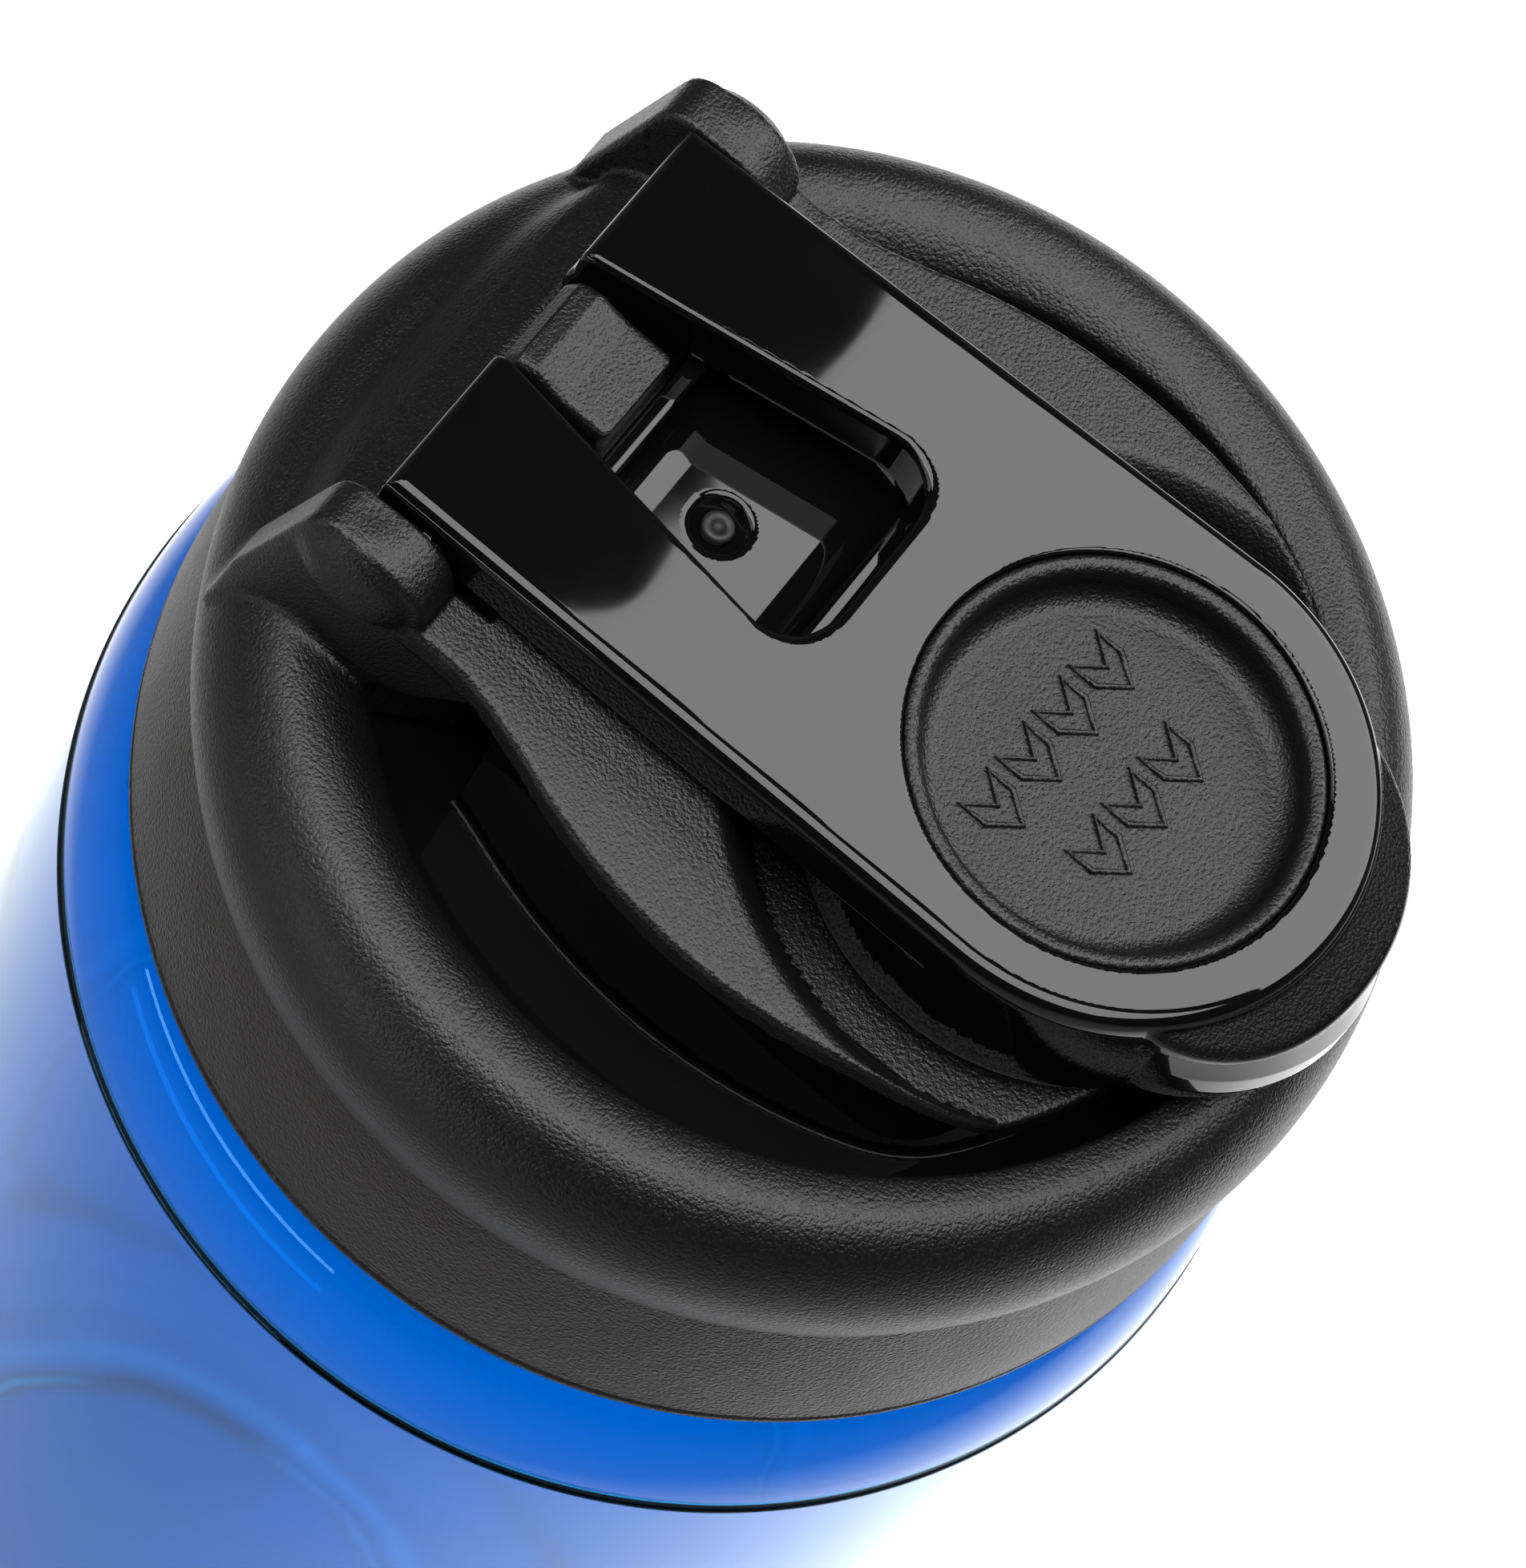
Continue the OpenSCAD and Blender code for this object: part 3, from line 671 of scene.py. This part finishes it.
# ---------------------------------------------------------------- materials
def new_material(name):
    """A material with its node tree and its shader."""
    mat = bpy.data.materials.new(name)
    mat.use_nodes = True
    tree = mat.node_tree
    return mat, tree, tree.nodes["Principled BSDF"]


def noise(tree, scale, detail=2.0):
    """Noise over the piece's own shape; scale is bumps per millimetre."""
    where = tree.nodes.new("ShaderNodeTexCoord")
    node = tree.nodes.new("ShaderNodeTexNoise")
    node.inputs["Scale"].default_value = scale / MM
    node.inputs["Detail"].default_value = detail
    tree.links.new(where.outputs["Object"], node.inputs["Vector"])
    return node


def ramp(tree, source, low, high, start=0.35, end=0.65):
    """A value that goes from low to high as the source goes from start to end."""
    node = tree.nodes.new("ShaderNodeMapRange")
    node.inputs["From Min"].default_value = start
    node.inputs["From Max"].default_value = end
    node.inputs["To Min"].default_value = low
    node.inputs["To Max"].default_value = high
    tree.links.new(source, node.inputs["Value"])
    return node.outputs["Result"]


def times(tree, a, b):
    """The product of two values."""
    node = tree.nodes.new("ShaderNodeMath")
    node.operation = "MULTIPLY"
    tree.links.new(a, node.inputs[0])
    tree.links.new(b, node.inputs[1])
    return node.outputs["Value"]


def tint(tree, source, dark, light):
    """A colour that goes from dark to light with the source."""
    node = tree.nodes.new("ShaderNodeMix")
    node.data_type = "RGBA"
    node.inputs["A"].default_value = (*dark, 1)
    node.inputs["B"].default_value = (*light, 1)
    tree.links.new(source, node.inputs["Factor"])
    return node.outputs["Result"]


def bump(tree, shader, source, depth_mm):
    """Raises the shader's surface by the source, to the given depth."""
    node = tree.nodes.new("ShaderNodeBump")
    node.inputs["Strength"].default_value = 1.0
    node.inputs["Distance"].default_value = depth_mm * MM
    tree.links.new(source, node.inputs["Height"])
    tree.links.new(node.outputs["Normal"], shader.inputs["Normal"])


def grained_black():
    """Black plastic from a spark-eroded mould: a fine grain that scatters the highlights."""
    mat, tree, shader = new_material("GrainedBlack")
    grain = noise(tree, 5.0, 1.5)
    blotch = ramp(tree, noise(tree, 0.08, 3.0).outputs["Fac"], 0, 1)
    colour = tint(tree, blotch, (0.0035, 0.0035, 0.0035), (0.005, 0.005, 0.005))
    tree.links.new(colour, shader.inputs["Base Color"])
    tree.links.new(ramp(tree, grain.outputs["Fac"], 0.34, 0.44), shader.inputs["Roughness"])
    bump(tree, shader, grain.outputs["Fac"], 0.08)
    return mat


def satin_black_painted_sheen():
    """The skirt's finish: a finer grain than the rest, in a browner, lighter colour that is painted warm
    reflection.
    """
    mat, tree, shader = new_material("SatinBlackPaintedSheen")
    grain = noise(tree, 4.5, 1.0)
    blotch = noise(tree, 0.1, 3.0)
    cast = ramp(tree, blotch.outputs["Fac"], 0, 1)
    # Painted reflection: the skirt's base colour is browner and lighter than the grain's, standing in for
    # the warm sheen on the lit skirt.
    colour = tint(tree, cast, (0.012, 0.009, 0.008), (0.016, 0.013, 0.012))
    tree.links.new(colour, shader.inputs["Base Color"])
    tree.links.new(ramp(tree, blotch.outputs["Fac"], 0.4, 0.46), shader.inputs["Roughness"])
    bump(tree, shader, grain.outputs["Fac"], 0.15)
    return mat


def polished_black(name, shade, gloss):
    """Polished black plastic with faint handling marks; gloss 0.5 is the full shine."""
    mat, tree, shader = new_material(name)
    haze = noise(tree, 0.15, 4.0)
    colour = tint(tree, haze.outputs["Fac"], (shade,) * 3, (1.5 * shade,) * 3)
    tree.links.new(colour, shader.inputs["Base Color"])
    tree.links.new(ramp(tree, haze.outputs["Fac"], 0.02, 0.035), shader.inputs["Roughness"])
    shader.inputs["Specular IOR Level"].default_value = gloss
    bump(tree, shader, noise(tree, 0.06, 1.0).outputs["Fac"], 0.1)
    return mat


def stippled_black():
    """Polished black with a fine stipple, for the grip of the thumb lip."""
    mat, tree, shader = new_material("StippledBlack")
    grain = noise(tree, 5.0, 1.0)
    colour = tint(tree, grain.outputs["Fac"], (0.004, 0.004, 0.004), (0.01, 0.01, 0.01))
    tree.links.new(colour, shader.inputs["Base Color"])
    tree.links.new(ramp(tree, grain.outputs["Fac"], 0.25, 0.35), shader.inputs["Roughness"])
    shader.inputs["Specular IOR Level"].default_value = 0.12
    bump(tree, shader, grain.outputs["Fac"], 0.1)
    return mat


def silicone(name, shade):
    """Soft matte rubber, grey or nearly black."""
    mat, tree, shader = new_material(name)
    soft = noise(tree, 1.5, 2.0)
    colour = tint(tree, soft.outputs["Fac"], (shade,) * 3, (1.25 * shade,) * 3)
    tree.links.new(colour, shader.inputs["Base Color"])
    tree.links.new(ramp(tree, soft.outputs["Fac"], 0.45, 0.6), shader.inputs["Roughness"])
    shader.inputs["Subsurface Weight"].default_value = 0.15
    shader.inputs["Subsurface Scale"].default_value = 0.001
    return mat


def tinted_clear():
    """Clear blue plastic: the surface is clear and the colour comes from the depth passed through."""
    mat, tree, shader = new_material("TintedClear")
    wave = noise(tree, 0.03, 2.0)
    colour = tint(tree, wave.outputs["Fac"], (0.003, 0.27, 0.62), (0.004, 0.29, 0.65))
    tree.links.new(colour, shader.inputs["Base Color"])
    shader.inputs["Transmission Weight"].default_value = 1.0
    shader.inputs["Roughness"].default_value = 0.03
    shader.inputs["IOR"].default_value = 1.5
    shader.inputs["Specular Tint"].default_value = (0.1, 0.5, 1, 1)
    bump(tree, shader, wave.outputs["Fac"], 0.1)
    return mat


def pale_floor():
    """A pale sheet with a pool of light behind the bottle."""
    mat, tree, shader = new_material("PaleFloor")
    cloud = noise(tree, 0.002, 2.0)
    colour = tint(tree, cloud.outputs["Fac"], (0.2, 0.2, 0.2), (0.21, 0.21, 0.21))
    tree.links.new(colour, shader.inputs["Base Color"])
    shader.inputs["Roughness"].default_value = 0.9
    where = tree.nodes.new("ShaderNodeTexCoord")
    away = tree.nodes.new("ShaderNodeVectorMath")
    away.operation = "DISTANCE"
    away.inputs[1].default_value = (0.13, 0.33, 0)
    tree.links.new(where.outputs["Object"], away.inputs[0])
    glow = ramp(tree, away.outputs["Value"], 1.65, 0.05, 0.3, 0.47)
    shader.inputs["Emission Color"].default_value = (1, 1, 1, 1)
    tree.links.new(glow, shader.inputs["Emission Strength"])
    return mat


# ---------------------------------------------------------------- assembly
GRAINED = grained_black()
SATIN_PAINTED_SHEEN = satin_black_painted_sheen()
POLISHED = polished_black("PolishedBlack", 0.0025, 0.5)
# Painted shade: the pocket's copy of the polished black has its shine cut to 0.08, so the deep pocket
# stays dark as if in shadow.
POCKET_PAINTED_SHADE = polished_black("PocketBlackPaintedShade", 0.003, 0.08)
STIPPLED = stippled_black()
SILICONE = silicone("Silicone", 0.16)
DARK_SILICONE = silicone("DarkSilicone", 0.012)
CLEAR = tinted_clear()


def place(obj, body, node, slot, *materials):
    """Gives a piece its materials, the body it rides on and the node it replaces; slot is not used."""
    for material in materials:
        obj.data.materials.append(material)
    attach(obj, body)
    if node:
        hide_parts(node)


def face_vectors(obj, kind):
    """The centre or the normal of every face."""
    values = np.zeros(len(obj.data.polygons) * 3, np.float32)
    obj.data.polygons.foreach_get(kind, values)
    return values.reshape(-1, 3)


def paint_skirt(shell):
    """Puts the lid shell's second material on the outside of the skirt."""
    x, y, z = (face_vectors(shell, "center") / MM - [0, 0, LID_Z]).T
    on_skirt = (np.hypot(x, y) > SKIRT_R - 1.6) & (z < ROLL_Z - 4)
    shell.data.polygons.foreach_set("material_index", on_skirt.astype(np.int32))


def paint_lip(arm):
    """Puts the arm's second material on top of the thumb lip."""
    x, y, z = (face_vectors(arm, "center") / MM - [0, 0, LID_Z]).T
    past_front = (np.hypot(x - DISC_X, y) > ARM_FRONT_R + 0.12) & (x > DISC_X)
    on_lip = past_front & (z > ARM_TOP - 2) & (face_vectors(arm, "normal")[:, 2] > 0.3)
    arm.data.polygons.foreach_set("material_index", on_lip.astype(np.int32))


place(make_bottle(), "bottle", "bottle_body", "tinted_plastic", CLEAR)
place(make_gasket(), "gasket", "lid_gasket", "silicone", SILICONE)
shell = make_lid_shell()
place(shell, "lid", "lid_shell", "textured_plastic", GRAINED, SATIN_PAINTED_SHEEN)
place(make_lid_insert(), "lid", "lid_insert", "polished_plastic", POCKET_PAINTED_SHADE)
place(make_vent_tray(), "lid", "lid_insert", "polished_plastic", POLISHED)
place(make_vent_valve(), "lid", "vent_valve", "silicone", DARK_SILICONE)
arm = make_flip_arm()
place(arm, "arm", "flip_arm", "polished_plastic", POLISHED, STIPPLED)
place(make_press_disc(), "arm", "press_disc", "textured_plastic", GRAINED)
place(make_press_marks(), "arm", None, "textured_plastic", GRAINED)
place(make_plug(), "arm", "spout_plug", "silicone", SILICONE)

paint_skirt(shell)
paint_lip(arm)


# ---------------------------------------------------------------- stage, light, camera
def make_floor():
    """A square sheet under the bottle."""
    half = 6.0
    corners = [(-half, -half, 0), (half, -half, 0), (half, half, 0), (-half, half, 0)]
    mesh = bpy.data.meshes.new("Floor")
    mesh.from_pydata(corners, [], [(0, 1, 2, 3)])
    floor = bpy.data.objects.new("Floor", mesh)
    bpy.context.scene.collection.objects.link(floor)
    mesh.materials.append(pale_floor())


def area_light(name, azimuth, elevation, distance, size, power, target, slide=(0, 0), spin=0):
    """A soft box facing the target from the given direction, azimuth 0 being in front, at -Y.

    slide moves it sideways and up in its own plane, and spin turns it there.
    """
    a, e = math.radians(azimuth), math.radians(elevation)
    away = Vector((math.sin(a) * math.cos(e), -math.cos(a) * math.cos(e), math.sin(e)))
    facing = away.to_track_quat("Z", "Y")
    light = bpy.data.lights.new(name, "AREA")
    light.shape = "RECTANGLE"
    light.size, light.size_y = size
    light.energy = power
    obj = bpy.data.objects.new(name, light)
    obj.location = Vector(target) + away * distance + facing @ Vector((*slide, 0))
    obj.rotation_mode = "QUATERNION"
    obj.rotation_quaternion = facing @ Quaternion((0, 0, 1), math.radians(spin))
    bpy.context.scene.collection.objects.link(obj)


def make_camera():
    """Looks down at the lid from in front, rolled so that the bottle leans to the lower left."""
    unit = SKIRT_R / 0.97
    distance = 12.0 * unit
    azimuth, elevation, roll = (math.radians(a) for a in (2.26, 63.73, 36.52))
    shift_x, shift_y = 0.0576 * unit, 0.0867 * unit
    away = Vector((math.sin(azimuth) * math.cos(elevation),
                   -math.cos(azimuth) * math.cos(elevation), math.sin(elevation)))
    right = Vector((math.cos(azimuth), math.sin(azimuth), 0))
    up = away.cross(right)
    right, up = (right * math.cos(roll) + up * math.sin(roll),
                 up * math.cos(roll) - right * math.sin(roll))
    data = bpy.data.cameras.new("Camera")
    camera = bpy.data.objects.new("Camera", data)
    bpy.context.scene.collection.objects.link(camera)
    camera.matrix_world = Matrix((
        (right.x, up.x, away.x, 0), (right.y, up.y, away.y, 0), (right.z, up.z, away.z, 0), (0, 0, 0, 1)))
    camera.location = (Vector((0, 0, LID_Z)) + away * distance + right * shift_x + up * shift_y) * MM
    data.sensor_width = 36
    data.lens = 36 * 4.7978
    data.clip_start, data.clip_end = 0.01, 50
    bpy.context.scene.camera = camera


make_floor()
make_camera()
TARGET = (0, 0, (LID_Z + ARM_TOP) * MM)
area_light("BackBox", 182.2, 61.9, 0.9, (0.8, 0.7), 8.3, TARGET, slide=(-0.414, -0.208), spin=-12)
area_light("TopBox", 0, 82, 1.0, (1.3, 0.72), 13.5, TARGET)
area_light("LeftBox", -62, 40, 1.0, (0.8, 0.9), 3.0, TARGET)
area_light("FrontStrip", -29, -6, 0.8, (0.7, 0.05), 0.8, TARGET)


def make_world():
    """Studio surroundings: a white sheet behind the bottle, and dark overhead and in front."""
    world = bpy.data.worlds.new("World")
    bpy.context.scene.world = world
    world.use_nodes = True
    tree = world.node_tree
    where = tree.nodes.new("ShaderNodeTexCoord")
    split = tree.nodes.new("ShaderNodeSeparateXYZ")
    tree.links.new(where.outputs["Generated"], split.inputs["Vector"])
    behind = ramp(tree, split.outputs["Y"], 0.04, 1.6, -0.1, 0.5)
    height = ramp(tree, split.outputs["Z"], 1, 0.03, 0.3, 0.65)
    tree.links.new(times(tree, behind, height), tree.nodes["Background"].inputs["Strength"])


make_world()
bpy.context.scene.view_settings.view_transform = "Standard"
